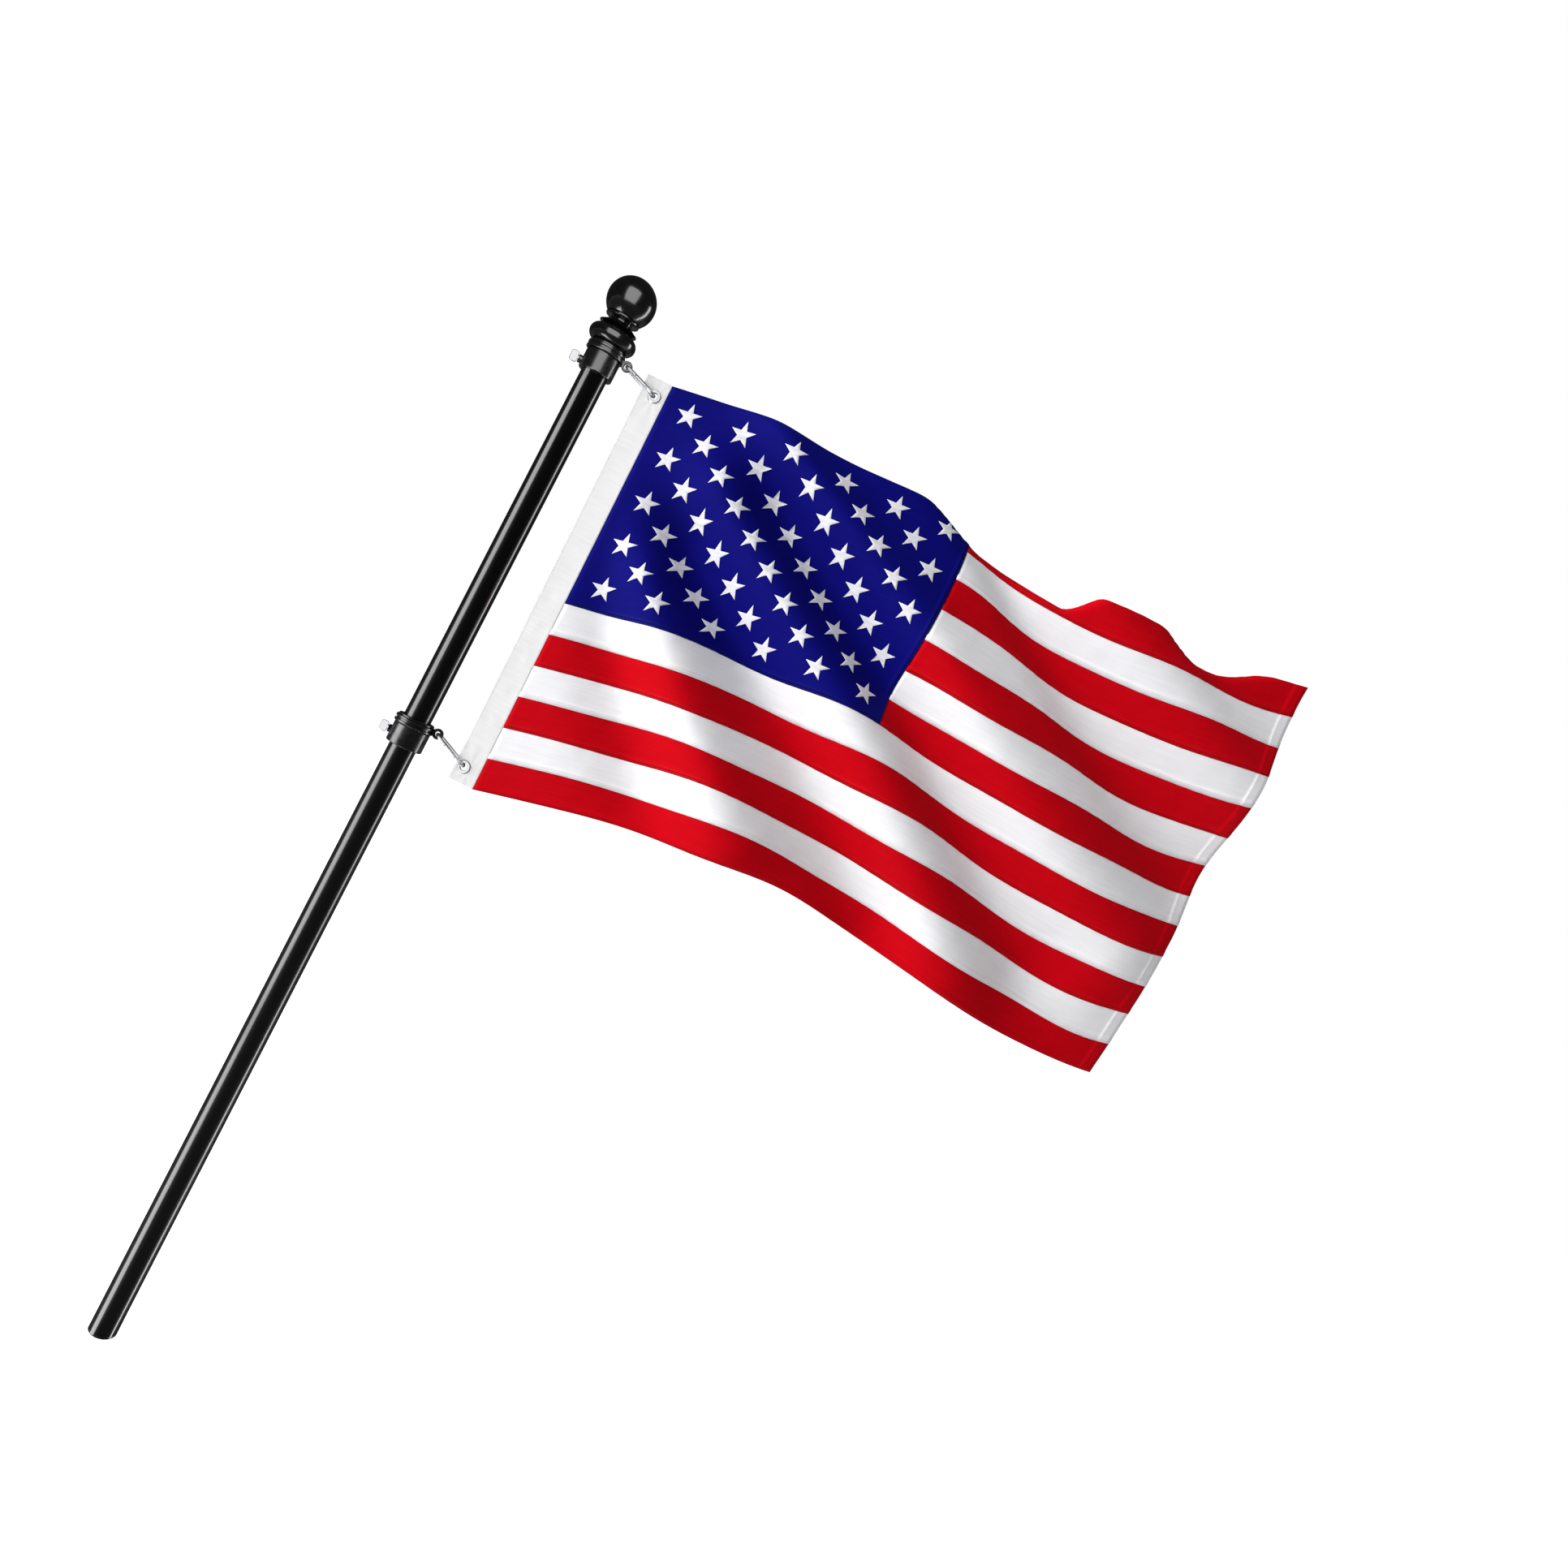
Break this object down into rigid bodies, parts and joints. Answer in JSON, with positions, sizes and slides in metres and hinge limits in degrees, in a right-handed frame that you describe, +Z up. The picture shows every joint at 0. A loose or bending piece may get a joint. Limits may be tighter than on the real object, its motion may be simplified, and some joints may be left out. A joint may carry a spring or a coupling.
{
  "type": "flagpole with flag",
  "caption": "Slim black pole with a ball finial and clamped collars whose spinning eye rings carry a striped flag on spring clips.",
  "frame": {"origin": "centre of the flat butt face of the pole", "axes": "+Z up the pole to the ball, +X from the pole to the flag's fly at rest, +Y away from the picture's camera"},
  "size_m": [0.7733, 0.1073, 1.092],
  "materials": {
    "pole_black": "gloss black paint on drawn aluminium tube",
    "finial_black": "gloss black moulding",
    "moulded_black": "satin to gloss black moulding",
    "bright_steel": "bright stainless steel",
    "canvas_white": "white canvas tape",
    "cloth_blue": "woven polyester, dyed deep blue",
    "cloth_red": "woven polyester, dyed red",
    "cloth_white": "woven polyester, white"
  },
  "bodies": {
    "pole": {"pole_tube": "pole_black", "butt_plug": "moulded_black", "finial_ball": "finial_black", "finial_neck": "finial_black", "finial_bead": "finial_black", "upper_collar": "moulded_black", "lower_collar": "moulded_black", "upper_retaining_lip": "moulded_black", "lower_retaining_lip": "moulded_black", "upper_thumbscrew": "bright_steel", "lower_thumbscrew": "bright_steel"},
    "flag": {"upper_eye_ring": "moulded_black", "upper_clip": "bright_steel", "lower_clip": "bright_steel", "upper_clip_gate": "bright_steel", "lower_clip_gate": "bright_steel", "upper_grommet": "bright_steel", "lower_grommet": "bright_steel", "flag_header": "canvas_white", "flag_canton": "cloth_blue", "stripe_01": "cloth_red", "stripe_02": "cloth_white", "stripe_03": "cloth_red", "stripe_04": "cloth_white", "stripe_05": "cloth_red", "stripe_06": "cloth_white", "stripe_07": "cloth_red", "stripe_08": "cloth_white", "stripe_09": "cloth_red", "stripe_10": "cloth_white", "stripe_11": "cloth_red", "stripe_12": "cloth_white", "stripe_13": "cloth_red"},
    "lower_ring": {"lower_eye_ring": "moulded_black"}
  },
  "joints": [
    {"name": "flag_spin", "type": "hinge", "parent": "pole", "child": "flag", "pos_m": [0, 0, 1.0167], "axis": [0, 0, 1], "continuous": true},
    {"name": "lower_ring_spin", "type": "hinge", "parent": "pole", "child": "lower_ring", "pos_m": [0, 0, 0.6309], "axis": [0, 0, 1], "continuous": true}
  ],
  "couplings": [
    {"joint": "lower_ring_spin", "follows": "flag_spin", "ratio": 1}
  ]
}
